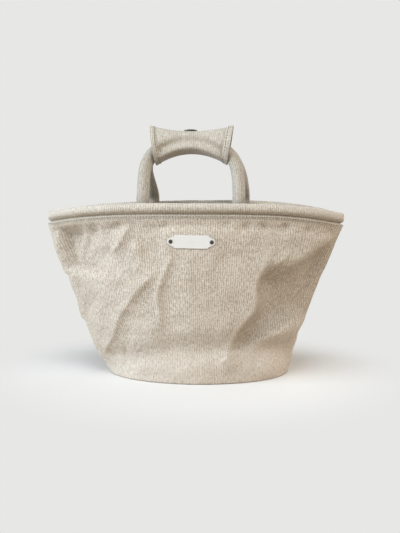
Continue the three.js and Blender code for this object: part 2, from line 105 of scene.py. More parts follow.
world = bpy.data.worlds.new("room")
world.use_nodes = True
world_nodes = world.node_tree.nodes
world_links = world.node_tree.links
world_nodes.clear()
world_out = world_nodes.new("ShaderNodeOutputWorld")
room = world_nodes.new("ShaderNodeBackground")
room.inputs["Color"].default_value = (1.06, 0.96, 0.83, 1)
room.inputs["Strength"].default_value = room_light
seen = world_nodes.new("ShaderNodeBackground")
seen.inputs["Color"].default_value = surround_tone
world_path = world_nodes.new("ShaderNodeLightPath")
seen_by_eye = world_nodes.new("ShaderNodeMath")
seen_by_eye.operation = "MAXIMUM"
world_mix = world_nodes.new("ShaderNodeMixShader")
world_links.new(world_path.outputs["Is Camera Ray"], seen_by_eye.inputs[0])
world_links.new(world_path.outputs["Is Glossy Ray"], seen_by_eye.inputs[1])
world_links.new(seen_by_eye.outputs[0], world_mix.inputs["Fac"])
world_links.new(room.outputs[0], world_mix.inputs[1])
world_links.new(seen.outputs[0], world_mix.inputs[2])
world_links.new(world_mix.outputs[0], world_out.inputs["Surface"])
bpy.context.scene.world = world
bpy.context.scene.view_settings.view_transform = "Standard"

floor_mesh = bpy.data.meshes.new("floor")
floor_half = 4.0
floor_mesh.from_pydata([(-floor_half, -floor_half, 0), (floor_half, -floor_half, 0),
                        (floor_half, floor_half, 0), (-floor_half, floor_half, 0)], [], [(0, 1, 2, 3)])
floor = link_object("floor", floor_mesh)
floor_paint = bpy.data.materials.new("pale_floor")
floor_paint.use_nodes = True
floor_shader = floor_paint.node_tree.nodes["Principled BSDF"]
floor_shader.inputs["Roughness"].default_value = 0.9
floor_tree = floor_paint.node_tree
floor_place = floor_tree.nodes.new("ShaderNodeTexCoord")
floor_reach = floor_tree.nodes.new("ShaderNodeVectorMath")
floor_reach.operation = "LENGTH"
floor_fade = floor_tree.nodes.new("ShaderNodeMapRange")
floor_fade.interpolation_type = "SMOOTHSTEP"
floor_fade.inputs["From Min"].default_value = 0.12
floor_fade.inputs["From Max"].default_value = 0.27
floor_glow = floor_tree.nodes.new("ShaderNodeEmission")
floor_glow.inputs["Color"].default_value = surround_tone
floor_path = floor_tree.nodes.new("ShaderNodeLightPath")
floor_seen = floor_tree.nodes.new("ShaderNodeMath")
floor_seen.operation = "MULTIPLY"
floor_mix = floor_tree.nodes.new("ShaderNodeMixShader")
floor_tree.links.new(floor_place.outputs["Object"], floor_reach.inputs[0])
floor_tree.links.new(floor_reach.outputs["Value"], floor_fade.inputs["Value"])
floor_tree.links.new(floor_fade.outputs["Result"], floor_seen.inputs[0])
floor_tree.links.new(floor_path.outputs["Is Camera Ray"], floor_seen.inputs[1])
floor_tree.links.new(floor_seen.outputs[0], floor_mix.inputs["Fac"])
floor_tree.links.new(floor_shader.outputs[0], floor_mix.inputs[1])
floor_tree.links.new(floor_glow.outputs[0], floor_mix.inputs[2])
floor_tone = floor_tree.nodes.new("ShaderNodeMix")
floor_tone.data_type = "RGBA"
floor_tone.inputs[6].default_value = table_tone
floor_tone.inputs[7].default_value = floor_white
floor_tree.links.new(floor_path.outputs["Is Camera Ray"], floor_tone.inputs[0])
floor_tree.links.new(floor_tone.outputs[2], floor_shader.inputs["Base Color"])
floor_tree.links.new(floor_mix.outputs[0], floor_tree.nodes["Material Output"].inputs["Surface"])
floor_mesh.materials.append(floor_paint)


# Body canvas: heavy linen in natural oatmeal, plain weave with slubs, washed soft. The two body
# panels are cut to the same shape, sewn at the side seams and to the oval base, and stand by
# their own stiffness: the front has caved in on the right and creased on the left.
def new_group(name, inputs, outputs):
    tree = bpy.data.node_groups.new(name, "ShaderNodeTree")
    for label, kind, value in inputs:
        socket = tree.interface.new_socket(label, in_out="INPUT", socket_type=kind)
        if value is not None:
            socket.default_value = value
    for label, kind in outputs:
        tree.interface.new_socket(label, in_out="OUTPUT", socket_type=kind)
    return tree, tree.nodes.new("NodeGroupInput"), tree.nodes.new("NodeGroupOutput")


def math_node(tree, operation, first, second=None, clamp=False):
    node = tree.nodes.new("ShaderNodeMath")
    node.operation = operation
    node.use_clamp = clamp
    for socket, value in ((node.inputs[0], first), (node.inputs[1], second)):
        if value is None:
            continue
        if isinstance(value, (int, float)):
            socket.default_value = value
        else:
            tree.links.new(value, socket)
    return node.outputs[0]


def noise_node(tree, vector, scale, detail=2.0, roughness=0.5):
    node = tree.nodes.new("ShaderNodeTexNoise")
    node.inputs["Scale"].default_value = scale
    node.inputs["Detail"].default_value = detail
    node.inputs["Roughness"].default_value = roughness
    tree.links.new(vector, node.inputs["Vector"])
    return node.outputs["Fac"]


def stretched(tree, vector, x, y, z):
    node = tree.nodes.new("ShaderNodeVectorMath")
    node.operation = "MULTIPLY"
    node.inputs[1].default_value = (x, y, z)
    tree.links.new(vector, node.inputs[0])
    return node.outputs["Vector"]


def mixed(tree, factor, first, second, blend="MIX"):
    node = tree.nodes.new("ShaderNodeMix")
    node.data_type = "RGBA"
    node.blend_type = blend
    for socket, value in ((node.inputs[0], factor), (node.inputs[6], first), (node.inputs[7], second)):
        if isinstance(value, (int, float, tuple)):
            socket.default_value = value
        else:
            tree.links.new(value, socket)
    return node.outputs[2]


# Linen weave on a cloth's own lengthwise and crosswise coordinates, in metres: threads that
# swell and thin both ways, dark and pale flecks in the fibre, and a slow drift of shade.
weave, weave_in, weave_out = new_group(
    "linen_weave",
    [("Cloth", "NodeSocketVector", None), ("PaintedShade", "NodeSocketFloat", 0.5),
     ("Colour", "NodeSocketColor", (0.5, 0.45, 0.38, 1)), ("Fleck", "NodeSocketFloat", 0.5)],
    [("Colour", "NodeSocketColor"), ("Height", "NodeSocketFloat"), ("Roughness", "NodeSocketFloat")])
cloth_place = weave_in.outputs["Cloth"]
across_threads = 900.0
along_threads = 240.0
warp = noise_node(weave, stretched(weave, cloth_place, across_threads, along_threads, 1), 1.0, 2.0, 0.55)
weft = noise_node(weave, stretched(weave, cloth_place, along_threads, across_threads, 1), 1.0, 2.0, 0.55)
fibre = noise_node(weave, cloth_place, 900.0, 2.0, 0.6)
rib_axis = weave.nodes.new("ShaderNodeSeparateXYZ")
weave.links.new(cloth_place, rib_axis.inputs["Vector"])
rib_sway = noise_node(weave, stretched(weave, cloth_place, 210.0, 60.0, 1), 1.0, 1.0, 0.5)
rib_turn = math_node(weave, "ADD", math_node(weave, "MULTIPLY", rib_axis.outputs["X"], 2700.0),
                     math_node(weave, "MULTIPLY", rib_sway, 7.0))
rib = math_node(weave, "ADD", math_node(weave, "MULTIPLY", math_node(weave, "SINE", rib_turn), 0.13), 0.5)
shade_drift = noise_node(weave, cloth_place, 22.0, 3.0, 0.55)
threads = math_node(weave, "ADD", math_node(weave, "MULTIPLY", warp, 0.62),
                    math_node(weave, "MULTIPLY", weft, 0.38))
threads = math_node(weave, "ADD", math_node(weave, "MULTIPLY", threads, 0.62),
                    math_node(weave, "MULTIPLY", rib, 0.38))
grain = math_node(weave, "ADD", math_node(weave, "MULTIPLY", threads, 0.74),
                  math_node(weave, "MULTIPLY", fibre, 0.26))
grain_contrast = math_node(weave, "MULTIPLY", math_node(weave, "SUBTRACT", grain, 0.5), 9.0)
fleck = math_node(weave, "MULTIPLY", grain_contrast, weave_in.outputs["Fleck"])
# Painted light and shade from the piece's attribute, added to the tone before the pale and dark mix.
painted_shade = math_node(weave, "SUBTRACT", weave_in.outputs["PaintedShade"], 0.5)
drift = math_node(weave, "MULTIPLY", math_node(weave, "SUBTRACT", shade_drift, 0.5), 0.4)
shade = math_node(weave, "ADD", math_node(weave, "ADD", fleck, drift), painted_shade)
light_part = math_node(weave, "ADD", shade, 0.5, clamp=True)
# The dark and pale ends of this mix serve both the thread flecks and the painted shade and highlight.
dark_thread_and_shade = mixed(weave, 1.0, weave_in.outputs["Colour"], (0.64, 0.60, 0.54, 1), "MULTIPLY")
pale_thread_and_highlight = mixed(weave, 1.0, weave_in.outputs["Colour"], (1.32, 1.34, 1.38, 1), "MULTIPLY")
weave.links.new(mixed(weave, light_part, dark_thread_and_shade, pale_thread_and_highlight), weave_out.inputs["Colour"])
weave.links.new(grain, weave_out.inputs["Height"])
weave.links.new(math_node(weave, "SUBTRACT", 1.0, math_node(weave, "MULTIPLY", grain, 0.15)),
                weave_out.inputs["Roughness"])


def linen(name, colour, fleck_amount=0.5, bump=0.5):
    """Linen cloth, on pieces that carry a cloth layout in metres and a value of painted light and shade for
    the colour.
    """
    material = bpy.data.materials.new(name)
    material.use_nodes = True
    tree = material.node_tree
    shader = tree.nodes["Principled BSDF"]
    group = tree.nodes.new("ShaderNodeGroup")
    group.node_tree = weave
    group.inputs["Colour"].default_value = (*colour, 1)
    group.inputs["Fleck"].default_value = fleck_amount
    layout = tree.nodes.new("ShaderNodeUVMap")
    layout.uv_map = "cloth"
    tree.links.new(layout.outputs["UV"], group.inputs["Cloth"])
    painted_shade_input = tree.nodes.new("ShaderNodeAttribute")
    painted_shade_input.attribute_name = "painted_shade"
    tree.links.new(painted_shade_input.outputs["Fac"], group.inputs["PaintedShade"])
    surface = tree.nodes.new("ShaderNodeBump")
    surface.inputs["Strength"].default_value = bump
    surface.inputs["Distance"].default_value = 0.0006
    tree.links.new(group.outputs["Height"], surface.inputs["Height"])
    tree.links.new(surface.outputs["Normal"], shader.inputs["Normal"])
    tree.links.new(group.outputs["Colour"], shader.inputs["Base Color"])
    tree.links.new(group.outputs["Roughness"], shader.inputs["Roughness"])
    shader.inputs["Specular IOR Level"].default_value = 0.15
    shader.inputs["Sheen Weight"].default_value = 0.12
    shader.inputs["Sheen Roughness"].default_value = 0.5
    return material


mm = 0.001
canvas_thickness = 1.6 * mm
roll_radius = 6.0 * mm
binding_thickness = 1.2 * mm
base_half = (105.5 * mm, 76 * mm)
base_shift = 4 * mm
mouth_half = (167 * mm, 46 * mm)
side_swell = 4 * mm
face_swell = 8 * mm
mouth_pinch = 0.2
panel_foot = 0.4 * mm
rim_height = 198 * mm
rim_drop, rim_lean, rim_curve = 10.9 * mm, 0.8 * mm, 3.4
back_lift, back_lean = 1.6 * mm, 1.8 * mm
panel_top_below_roll = 4.8 * mm
plate_height = 155 * mm


def lerp(a, b, t):
    return a + (b - a) * t


def smooth(t, low=0.0, high=1.0):
    t = min(max((t - low) / (high - low), 0.0), 1.0)
    return t * t * (3 - 2 * t)


def roll_height(angle):
    """Height of the rim cord: lower at the side seams, and a little higher along the back."""
    c, back = math.cos(angle), max(math.sin(angle), 0.0)
    drop = (rim_drop + rim_lean * c) * abs(c) ** rim_curve
    return rim_height - roll_radius - drop + (back_lift + back_lean * c) * back ** 2


def panel_top(angle):
    return roll_height(angle) - panel_top_below_roll


def wall(angle, height):
    """Middle of the wall cloth at an angle round the bag and a height, as sewn."""
    rise = (height - panel_foot) / (panel_top(angle) - panel_foot)
    bow = rise * (1 - rise)
    half_length = lerp(base_half[0], mouth_half[0], rise) + side_swell * bow
    half_depth = lerp(base_half[1], mouth_half[1], rise) + face_swell * bow
    pinch = mouth_pinch * rise
    c, s = math.cos(angle), math.sin(angle)
    x = base_shift * (1 - rise) + half_length * c
    return Vector((x, half_depth * s * (1 - pinch * c * c), height))


def wall_normal(angle, height):
    along = wall(angle + 0.004, height) - wall(angle - 0.004, height)
    up = wall(angle, height + mm) - wall(angle, height - mm)
    return along.cross(up).normalized()


def fold(x, z, line, rise, before, after, hollow=0.0, turn=6.0, reach=20.0):
    """A crease along a line of points, in millimetres: a crest of height rise that falls away
    over the distances before and after, and a hollow on the far side between the distances turn
    and reach. For a line drawn downwards the far side is the right one."""
    best, side, run, total, along = 1e9, 0.0, 0.0, 0.0, 0.0
    for start, end in zip(line, line[1:]):
        dx, dz = end[0] - start[0], end[1] - start[1]
        length = math.hypot(dx, dz)
        t = ((x - start[0]) * dx + (z - start[1]) * dz) / length ** 2
        t = min(max(t, 0.0), 1.0)
        distance = math.hypot(x - start[0] - t * dx, z - start[1] - t * dz)
        if distance < best:
            best, along = distance, total + t * length
            side = dx * (z - start[1]) - dz * (x - start[0])
        total += length
    share = along / total
    window = smooth(share, 0.0, 0.16) * (1 - smooth(share, 0.84, 1.0))
    crest = math.hypot(best, 0.9) - 0.9
    push = rise * math.exp(-crest / (after if side > 0 else before))
    if side > 0:
        push -= hollow * (math.exp(-best / reach) - math.exp(-best / turn))
    return push * window


front_creases = [
    ([(96, 158), (81, 128), (73, 114), (70, 102), (71, 89), (68, 78), (58, 67), (50, 57), (45, 45), (40, 28),
      (33, 10)], 2.4, 22, 12),
    ([(184, 176), (159, 159), (142, 148), (131, 140), (116, 132), (102, 125), (92, 119), (82, 112)],
     3.6, 24, 6, 3, 5, 16),
    ([(24, 18), (46, 31), (64, 37), (82, 45), (99, 52), (115, 64), (132, 80)], 3.0, 20, 8, 2, 6, 16),
    ([(-30, 128), (-46, 115), (-56, 105), (-64, 95), (-69, 86), (-76, 77), (-83, 64), (-87, 49), (-97, 34),
      (-107, 21), (-114, 12)], 5.2, 40, 8, 3, 5, 14),
    ([(-16, 154), (-22, 142), (-26, 130), (-31, 116), (-35, 105), (-38, 94), (-36, 83), (-34, 72), (-33, 56)],
     2.6, 5, 5, 3, 4, 11),
    ([(-62, 196), (-66, 182), (-72, 172), (-78, 160), (-84, 150), (-96, 138)], 2.6, 9, 6, 4, 5, 15),
    ([(-67, 156), (-59, 143), (-57, 132), (-65, 117)], 1.9, 4, 4, 3, 4, 10),
    ([(-166, 204), (-158, 166), (-153, 136), (-154, 112)], 3.0, 6, 6, 62, 15, 28),
    ([(-112, 196), (-123, 171), (-131, 155), (-134, 141), (-140, 116)], 4.4, 7, 18, 0, 5, 10),
    ([(-143, 114), (-134, 90), (-127, 60)], 2.0, 5, 4, 4, 5, 14),
    ([(110, 144), (102, 136), (87, 126), (78, 118)], 1.6, 6, 3, 3, 3, 8),
    ([(152, 136), (140, 124), (130, 112), (122, 100)], 2.0, 5, 5, 4, 4, 9),
    ([(140, 108), (128, 96), (118, 84), (108, 66)], 2.6, 6, 5, 4, 4, 10)]
cave_edge = [(10, 33), (28, 40), (45, 45), (57, 50), (67, 58), (78, 68), (89, 71), (102, 70), (114, 73),
             (128, 81), (158, 96)]
cave_shape = (37, 64, 16)    # factor, and the distances of its far and near fall
cave_top = [(68, 138), (80, 135), (92, 131), (104, 130), (116, 132), (131, 140), (142, 148), (159, 159),
            (176, 170)]
back_creases = [
    ([(-160, 172), (-104, 126), (-70, 84)], 3.6, 14, 6, 6, 7, 24),
    ([(22, 150), (54, 104), (74, 40)], 3.6, 20, 8, 9, 9, 34),
    ([(-20, 126), (-34, 86), (-22, 44)], 2.2, 8, 6, 3, 6, 16),
    ([(150, 168), (118, 132), (96, 92)], 2.8, 8, 5, 5, 6, 18),
    ([(-112, 90), (-84, 50), (-40, 22)], 3.0, 16, 8, 5, 7, 22)]


def plate_hold(x, z):
    """1 where the plate and its rivets hold the cloth flat, and 0 away from them."""
    away = math.hypot(max(abs(x) - 22, 0), max(abs(z - plate_height / mm) - 6, 0))
    return 1 - smooth(away, 3, 18)


def folds_at(is_front, x, z):
    """How far the wall's folds stand out, in millimetres, at a place given in millimetres."""
    folds = sum(fold(x, z, *crease) for crease in (front_creases if is_front else back_creases))
    return folds * (1 - plate_hold(x, z)) if is_front else folds


def stepped(table, at):
    """The value at a place, read between the pairs of a (place, value) table."""
    for (low, start), (high, end) in zip(table, table[1:]):
        if at <= high:
            return lerp(start, end, (at - low) / (high - low))
    return table[-1][1]


def cave(x, z):
    """How deep the front's right side has caved in, between its soft edge, the ridge that
    comes down from the right end of the rim and the bulge at the foot."""
    away = x - stepped(cave_edge, z)
    if away <= 0:
        return 0.0
    bulge = 31 + 0.45 * (x - 46)
    factor, far, near = cave_shape
    depth = factor * (math.exp(-away / far) - math.exp(-away / near))
    return depth * smooth(stepped(cave_top, x) - z, -6, 24) * smooth(z - bulge, -10, 24)


def foot_flare(x, z):
    """The front draws in a little above the foot, which leaves a strip at the foot facing up."""
    middle = 38 - 0.0011 * (x - 30) ** 2
    depth = 4.5 + 2.5 * smooth(x, -70, -10) + 6 * smooth(x, 40, 85)
    return -depth * math.exp(-((z - middle) / 15.5) ** 2)


front_puckers = [(61, 174, 2.4, 5), (81, 173, 2.0, 4), (105, 172, 2.4, 5), (130, 169, 1.8, 4),
                 (38, 175, 1.2, 5), (-84, 174, 1.6, 6), (-112, 172, 1.4, 5), (-28, 176, 1.0, 5)]


def pucker(x, z):
    """Short soft dips under the rim, where the topstitching draws the cloth in."""
    return -sum(depth * math.exp(-((x - at) / width) ** 2 - ((z - height) / 8) ** 2)
                for at, height, depth, width in front_puckers)


left_seam = [(0, 0), (6, 2.6), (14, 4.2), (18, 6.5), (32, 7.9), (50, 4.8), (60, 4.6), (65, 8.6), (76, 8.2),
             (92, 6.2), (104, 6.6), (115, 5.6), (119, 9.4), (130, 9.2), (158, 8.4), (172, 7.4)]
right_seam = [(0, 0), (4, -0.5), (14, 0), (25, -2.5), (35, -2), (57, -5.9), (62, -2.7), (87, -1.6),
              (108, 0), (140, 2.9), (157, 3.9), (172, 5.6)]


def seam_folds(x, z):
    """How far the cloth stands out at a side seam, where it buckles in steps."""
    return stepped(right_seam if x > 0 else left_seam, z)


def seam_share(angle):
    """1 at the side seams, and 0 a little way along each panel."""
    turn = angle % math.pi / math.pi
    return 1 - smooth(min(turn, 1 - turn), 0.0, 0.12)


def corner_push(angle, height):
    """How far the seam's buckles stand out, in millimetres, from the foot to under the roll."""
    place = wall(angle, height)
    under = (panel_top(angle) - height) / mm
    return seam_share(angle) * seam_folds(place.x / mm, height / mm) * smooth(under, 0.5, 6)


def crumple(place, seed):
    broad = noise.noise(place * 24 + Vector((seed, 0, 0)))
    middle = noise.noise(place * 68 + Vector((0, seed, 0)))
    small = abs(noise.noise(place * 150 + Vector((0, 0, seed))))
    return 1.4 * broad + 0.9 * middle - 0.5 * small


def panel_place(is_front, across, up):
    """Place of the wall cloth's middle with its folds, and how far they push it, in millimetres."""
    angle = (math.pi if is_front else 0.0) + math.pi * across
    height = lerp(panel_foot, panel_top(angle), up)
    flat = wall(angle, height)
    x, z = flat.x / mm, height / mm
    folds = folds_at(is_front, x, z) * smooth(z, 0, 34)
    small = crumple(flat, 3.7 if is_front else 8.2)
    if is_front:
        small = small * (1.1 + 1.2 * smooth(-x, 30, 80)) + pucker(x, z)
        folds += foot_flare(x, z) - cave(x, z)
    near_seam = seam_share(angle)
    under = (panel_top(angle) - height) / mm
    push = folds * smooth(under, 6.5, 22) * (1 - near_seam) + corner_push(angle, height)
    push += lerp(small, 0.5 * small, near_seam) * smooth(under, 6.5, 14) * smooth(z, 0, 9)
    push -= 1.7 * math.exp(-(min(across, 1 - across) * 180) ** 2) * smooth(under, 6.5, 10)
    push -= 1.7 * math.exp(-((under - 15) / 6) ** 2) * smooth(under, 6.5, 9) * (1 - near_seam)
    return flat + wall_normal(angle, height) * push * mm, push


def cloth_mesh(name, grid, layout, painted_shade, closed_across=False, closed_up=False):
    """A mesh from a grid of places, with a cloth layout in metres and a value of painted light and shade a
    point.
    """
    columns, rows = len(grid), len(grid[0])
    vertices = [place for column in grid for place in column]
    faces, corners = [], []
    for i in range(columns if closed_across else columns - 1):
        for j in range(rows if closed_up else rows - 1):
            k, m = (i + 1) % columns, (j + 1) % rows
            faces.append((i * rows + j, k * rows + j, k * rows + m, i * rows + m))
            corners += [layout(i, j), layout(i + 1, j), layout(i + 1, j + 1), layout(i, j + 1)]
    mesh = bpy.data.meshes.new(name)
    mesh.from_pydata(vertices, [], faces)
    cloth = mesh.uv_layers.new(name="cloth")
    for corner, place in enumerate(corners):
        cloth.data[corner].uv = place
    values = mesh.attributes.new("painted_shade", "FLOAT", "POINT")
    values.data.foreach_set("value", [value for column in painted_shade for value in column])
    mesh.polygons.foreach_set("use_smooth", [True] * len(mesh.polygons))
    return link_object(name, mesh)


def fold_painted_shade(pushes, reach=3, gain=0.12):
    """Painted light and shade from the folds: crests are made lighter and valleys darker in the colour, as
    light would fall on them.
    """
    columns, rows = len(pushes), len(pushes[0])
    painted_shade = []
    for i in range(columns):
        column = []
        for j in range(rows):
            around = [pushes[min(max(i + a, 0), columns - 1)][min(max(j + b, 0), rows - 1)]
                      for a in (-reach, 0, reach) for b in (-reach, 0, reach)]
            column.append(0.5 + max(-0.26, min(0.26, gain * (pushes[i][j] - sum(around) / 9))))
        painted_shade.append(column)
    return painted_shade


def add_thickness(obj, thickness, offset=0.0):
    shell = obj.modifiers.new("thickness", "SOLIDIFY")
    shell.thickness = thickness
    shell.offset = offset
    shell.use_even_offset = False


plate_lift = canvas_thickness / 2 + 0.3 * mm
front_middle = -math.pi / 2
plate_out = wall_normal(front_middle, plate_height)
plate_side = Vector((1, 0, 0))
plate_seat = wall(front_middle, plate_height) + plate_out * plate_lift
plate_seat.x = 0.0


def held_by_plate(place):
    """The cloth lies flat against the back of the plate that is riveted through it."""
    offset = place - plate_seat
    across, up = offset.dot(plate_side) / mm, offset.dot(plate_out.cross(plate_side)) / mm
    hold = 1 - smooth(math.hypot(max(abs(across) - 22, 0), max(abs(up) - 5, 0)), 2, 16)
    return place - plate_out * (offset.dot(plate_out) + plate_lift - 0.2 * mm) * hold


body_linen = linen("body_linen", (0.455, 0.409, 0.353), 0.7, 0.8)
panel_columns = 260
panel_rows = 170
seam_gap = 0.0012
panel_run = 0.196
for label, is_front in (("front", True), ("back", False)):
    grid, pushes = [], []
    for i in range(panel_columns + 1):
        across = lerp(seam_gap, 1 - seam_gap, i / panel_columns)
        column = [panel_place(is_front, across, j / panel_rows) for j in range(panel_rows + 1)]
        grid.append([held_by_plate(place) if is_front else place for place, _ in column])
        pushes.append([push for _, push in column])
    middle_row = panel_rows // 2
    run = [0.0]
    for start, end in zip(grid, grid[1:]):
        run.append(run[-1] + (end[middle_row] - start[middle_row]).length)
    height_step = panel_run / panel_rows
    painted_shade = fold_painted_shade(pushes)
    # Painted light and shade on the body's colour: painted light makes it lighter towards the foot, more so
    # on the right, and painted shade darkens the cave on the front's right side.
    for column, places in zip(painted_shade, grid):
        for j, place in enumerate(places):
            x, z = place.x / mm, place.z / mm
            caved = min(cave(x, z) / 6, 1) if is_front else 0.0
            painted_foot_light = 0.18 + 0.14 * smooth(x, 45, 80)
            column[j] += painted_foot_light * (1 - smooth(z, 4, 95)) * (1 - caved) - 0.15 * caved
    body = cloth_mesh(label + "_body", grid, lambda i, j: (run[i], j * height_step), painted_shade)
    body.data.materials.append(body_linen)
    add_thickness(body, canvas_thickness)
    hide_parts(label + "_panel")
    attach(body, "root")


# Side seams: each pair of panel edges is turned in and sewn, which leaves a raw tongue of two
# layers of canvas standing inside the bag at both ends.
seam_tongue = 9 * mm
tongue_half = 1.5 * mm
tongue_rows = 70
tongue_section = [(0.4, -1), (0.4, 1), (-3, 1.1), (-7, 1.0), (-9, 0.8), (-9, -0.8), (-7, -1.0),
                  (-3, -1.1)]
for label, across in (("left", 0.0), ("right", 1.0)):
    grid, painted_shade = [], []
    for i in range(tongue_rows + 1):
        up = lerp(0.02, 1, i / tongue_rows)
        edge, _ = panel_place(True, lerp(seam_gap, 1 - seam_gap, across), up)
        inward = Vector((-1 if edge.x > 0 else 1, 0, 0))
        sway = 2.2 * mm * noise.noise(Vector((edge.z * 30, 5 * across, 0)))
        section = []
        for out, side in tongue_section:
            depth = -out * mm
            lean = sway * (depth / seam_tongue) ** 2 if depth > 0 else 0.0
            section.append(Vector((edge.x, 0, edge.z)) + inward * depth
                           + Vector((0, side * tongue_half + lean, 0)))
        grid.append(section)
        painted_shade.append([0.5] * len(section))
    seam = cloth_mesh(label + "_side_seam", grid, lambda i, j: (j * 2.4 * mm, i * 2.6 * mm),
                      painted_shade, closed_up=True)
    seam.data.materials.append(body_linen)
    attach(seam, "root")


# Base: an oval of the same canvas, doubled. Its edge is turned up into the panels' feet and sewn
# all round, and its upper layer lies in low waves.
base_inset = canvas_thickness / 2 + 0.4 * mm
base_thickness = 2 * mm
base_steps = 128
grid, painted_shade = [], []
base_profile = [(0.002, 0.0), (0.3, 0.0), (0.6, 0.0), (0.85, 0.0), (0.96, 0.0), (0.992, 0.25),
                (1.0, 0.5), (0.992, 0.85), (0.96, 1.0), (0.85, 1.0), (0.6, 1.0), (0.3, 1.0), (0.002, 1.0)]
for i in range(base_steps):
    angle = 2 * math.pi * i / base_steps
    out = wall_normal(angle, panel_foot)
    out.z = 0
    edge = wall(angle, panel_foot) - out.normalized() * base_inset
    column = []
    for reach, level in base_profile:
        place = Vector((edge.x * reach, edge.y * reach, level * base_thickness))
        if level == 1.0:
            place.z += 1.1 * mm * (0.5 + 0.5 * noise.noise(place * 30)) * smooth(1 - reach, 0, 0.2)
        column.append(place)
    grid.append(column)
    painted_shade.append([0.5] * len(column))
base = cloth_mesh("oval_base", grid, lambda i, j: (0, 0), painted_shade, closed_across=True)
for loop in base.data.loops:
    place = base.data.vertices[loop.vertex_index].co
    base.data.uv_layers["cloth"].data[loop.index].uv = (place.x, place.y)
base.data.materials.append(body_linen)
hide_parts("base_panel")
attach(base, "root")


# Rim: a strip of the same linen rolled round a cord. Its two edges run down both faces of the
# panels as a narrow flange, held by one row of topstitching through all the layers.
roll_steps = 480
flange_half = canvas_thickness / 2 + 0.3 * mm + binding_thickness
slot_half = canvas_thickness / 2 + 0.1 * mm
flange_foot = -11 * mm
roll_sides = 22


def roll_arc(radius, half_slot, count):
    start = math.asin(half_slot / radius)
    turns = [lerp(start, 2 * math.pi - start, i / count) for i in range(count + 1)]
    return [(radius * math.sin(turn), -radius * math.cos(turn)) for turn in turns]


outer_arc = roll_arc(roll_radius, flange_half - 0.9 * mm, roll_sides)
inner_arc = roll_arc(roll_radius - binding_thickness, slot_half, roll_sides)[::-1]
roll_section = [(canvas_thickness / 2 + 0.08 * mm, flange_foot),
                (canvas_thickness / 2 + 0.6 * mm, -10.5 * mm),
                (flange_half - 0.1 * mm, -9.8 * mm), (flange_half - 0.4 * mm, -9.1 * mm),
                (flange_half + 0.45 * mm, -8.2 * mm), (flange_half + 0.55 * mm, -7.2 * mm),
                (flange_half - 0.1 * mm, -6.5 * mm), (flange_half - 0.85 * mm, -6.1 * mm)]
roll_section = (roll_section + outer_arc + [(-out, level) for out, level in roll_section[::-1]]
                + [(-slot_half, flange_foot)] + inner_arc + [(slot_half, flange_foot)])


def rim_out(angle):
    """Outward direction of the rim, level with the floor."""
    out = wall_normal(angle, panel_top(angle))
    out.z = 0
    return out.normalized()


def rim_place(angle, outward, level):
    """A place on the rim's section: below the roll it follows the lean of the wall."""
    height = roll_height(angle) + level
    cloth_height = min(height, panel_top(angle))
    root = wall(angle, cloth_height)
    root.z = height
    return root + rim_out(angle) * (outward + corner_push(angle, cloth_height) * mm)


binding_linen = linen("binding_linen", (0.475, 0.438, 0.384), 0.6, 0.6)
grid, painted_shade = [], []
for i in range(roll_steps):
    angle = 2 * math.pi * i / roll_steps
    around = Vector((math.cos(angle), math.sin(angle), 0))
    squared = 1 - smooth(abs(math.sin(angle)), 0.03, 0.2)
    column, shades = [], []
    for out, level in roll_section:
        # Painted light and shade on the binding's colour: a little lighter on top of the roll and much darker
        # in the crease under it, down to the flange, with a faint random tone.
        crease = 0.42 * smooth(-level / mm, 0.0, 5.0) * (1 - smooth(-level / mm, 6.3, 7.6))
        shades.append(0.5 + 0.05 * smooth(level / mm, 0, 5) - crease + 12 * noise.noise(around * 30) * mm)
        swell = 0.3 * mm * noise.noise(around * 9 + Vector((0, 0, level * 300)))
        swell += 0.22 * mm * noise.noise(around * 34 + Vector((0, 0, level * 150)))
        reach = math.hypot(out, level)
        corner = min(reach / max(abs(out), abs(level)), 1.2) if level > -6 * mm else 1.0
        scale = (1 + swell / reach if level > -6 * mm else 1 + 0.4 * swell / reach) * lerp(1, corner, squared)
        column.append(rim_place(angle, out * scale, level * (1 if level < -6 * mm else scale)))
    grid.append(column)
    painted_shade.append(shades)
section_run = [0.0]
for start, end in zip(roll_section, roll_section[1:] + roll_section[:1]):
    section_run.append(section_run[-1] + math.hypot(end[0] - start[0], end[1] - start[1]))
rim_run = 0.88
rim_step = rim_run / roll_steps
rim = cloth_mesh("rim_roll", grid, lambda i, j: (i * rim_step, section_run[j]), painted_shade,
                 closed_across=True, closed_up=True)
rim.data.materials.append(binding_linen)
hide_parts("rim_binding")
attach(rim, "root")


# Rim cord: laid cotton rope of three strands, drawn into the roll before its flange is stitched.
# The binding hides it all round.
cord_sides = 18
cord_radius, cord_lobe, cord_twist = 3.9 * mm, 0.4 * mm, 60
rope_cotton = bpy.data.materials.new("rope_cotton")
rope_cotton.use_nodes = True
rope_tree = rope_cotton.node_tree
rope_shader = rope_tree.nodes["Principled BSDF"]
rope_layout = rope_tree.nodes.new("ShaderNodeTexCoord")
rope_lie = stretched(rope_tree, rope_layout.outputs["Object"], 700, 700, 300)
rope_fibre = noise_node(rope_tree, rope_lie, 1.0, 3.0)
rope_tree.links.new(mixed(rope_tree, rope_fibre, (0.50, 0.43, 0.31, 1), (0.76, 0.69, 0.55, 1)),
                    rope_shader.inputs["Base Color"])
rope_bump = rope_tree.nodes.new("ShaderNodeBump")
rope_bump.inputs["Strength"].default_value = 0.6
rope_bump.inputs["Distance"].default_value = 0.0005
rope_tree.links.new(rope_fibre, rope_bump.inputs["Height"])
rope_tree.links.new(rope_bump.outputs["Normal"], rope_shader.inputs["Normal"])
rope_shader.inputs["Roughness"].default_value = 0.9

